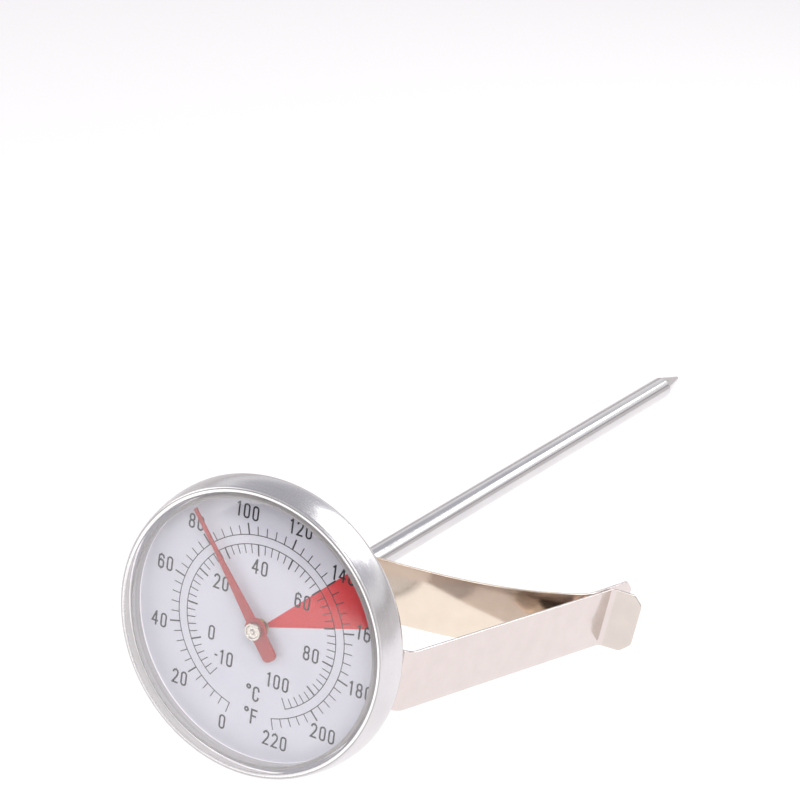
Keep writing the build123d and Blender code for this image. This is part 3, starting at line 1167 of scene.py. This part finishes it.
def make_card():
    """A card low down at the front left, for the crystal to mirror: glowing, but dark along its front."""
    left, right, front, rear = -0.175, -0.015, -0.275, -0.075
    # the glow starts at a slanting line, glow_start millimetres along glow_run
    glow_run = (-0.447, 0.894)
    glow_start = -127.0
    finish = Finish("card_glow", Roughness=0.9)
    finish.set("Base Color", (0.05, 0.05, 0.05))
    x, y = finish.node("SeparateXYZ", Vector=finish.position()).outputs[:2]
    across = finish.math("MULTIPLY_ADD", x, glow_run[0], -glow_start)
    across = finish.math("MULTIPLY_ADD", y, glow_run[1], across)
    patch = finish.math("MULTIPLY", finish.noise(finish.position(), 0.02, 2.0), 30.0)
    across = finish.math("ADD", across, patch)
    # a second glow at the card's far left
    across = finish.math("ADD", across, finish.ramp(x, -141.0, -136.0, 40.0, 0.0))
    finish.set("Emission Color", (1.0, 0.985, 0.98))
    finish.set("Emission Strength", finish.ramp(across, -12.0, 12.0, 0.05, 1.9))
    bm = bmesh.new()
    corners = ((left, front), (right, front), (right, rear), (left, rear))
    bm.faces.new([bm.verts.new((x, y, 0)) for x, y in corners])
    card = stage_sheet("card", bm, 0.054, finish.material)
    # only what mirrors it sees the card
    card.visible_camera = card.visible_diffuse = card.visible_shadow = False


def make_world():
    """Studio walls: pale at the floor, then a dark band, a bright band, and dimmer overhead."""
    world = bpy.data.worlds.new("studio")
    bpy.context.scene.world = world
    world.use_nodes = True
    tree = world.node_tree
    direction = tree.nodes.new("ShaderNodeTexCoord").outputs["Generated"]
    split = tree.nodes.new("ShaderNodeSeparateXYZ")
    tree.links.new(direction, split.inputs[0])
    ramp = tree.nodes.new("ShaderNodeValToRGB")
    tree.links.new(split.outputs["Z"], ramp.inputs[0])
    stops = ramp.color_ramp.elements
    stops[0].position, stops[0].color = 0.0, (1.05, 0.99, 0.98, 1)
    stops[1].position, stops[1].color = 1.0, (0.62, 0.62, 0.66, 1)
    for place, colour in (
        (0.14, (0.98, 0.93, 0.92, 1)),
        (0.19, (0.48, 0.46, 0.48, 1)),
        (0.23, (0.48, 0.46, 0.48, 1)),
        (0.28, (1.20, 1.18, 1.20, 1)),
        (0.40, (1.30, 1.29, 1.30, 1)),
        (0.50, (0.74, 0.74, 0.80, 1)),
    ):
        stops.new(place).color = colour
    background = tree.nodes["Background"]
    tree.links.new(ramp.outputs[0], background.inputs["Color"])
    background.inputs["Strength"].default_value = 0.82


def make_camera():
    """The camera, from its bearing, height and roll about a point of the thermometer."""
    target = Vector((0.0091, 0.0170, 0.0367))
    distance = 0.483
    azimuth, elevation, roll = (math.radians(a) for a in (26.75, 20.78, 7.83))
    level = math.cos(elevation)
    back = Vector((math.sin(azimuth) * level, -math.cos(azimuth) * level, math.sin(elevation)))
    data = bpy.data.cameras.new("camera")
    data.lens, data.sensor_width = 135.0, 36.0
    data.clip_start, data.clip_end = 0.01, 50.0
    camera = bpy.data.objects.new("camera", data)
    bpy.context.scene.collection.objects.link(camera)
    camera.rotation_mode = "QUATERNION"
    camera.location = target + back * distance
    turn = (-back).to_track_quat("-Z", "Y").to_matrix()
    camera.rotation_quaternion = (turn @ Matrix.Rotation(roll, 3, "Z")).to_quaternion()
    bpy.context.scene.camera = camera


make_floor()
make_card()
make_world()
make_camera()
add_light("key", (0.40, -0.50, 0.60), (0.01, 0.04, 0.0), (0.5, 0.5), 3.0)
add_light("left_fill", (-0.70, -0.35, 0.30), (0.0, 0.03, 0.0), (0.5, 0.6), 1.2)
add_light("rear_key", (0.30, 0.62, 0.75), (0.0, 0.03, 0.0), (0.5, 0.4), 4.0)
add_light("stem_strip", (0.24, 0.85, 0.44), (0.0, 0.08, 0.0), (0.40, 0.15), 0.38)
scene = bpy.context.scene
scene.view_settings.view_transform = "Standard"
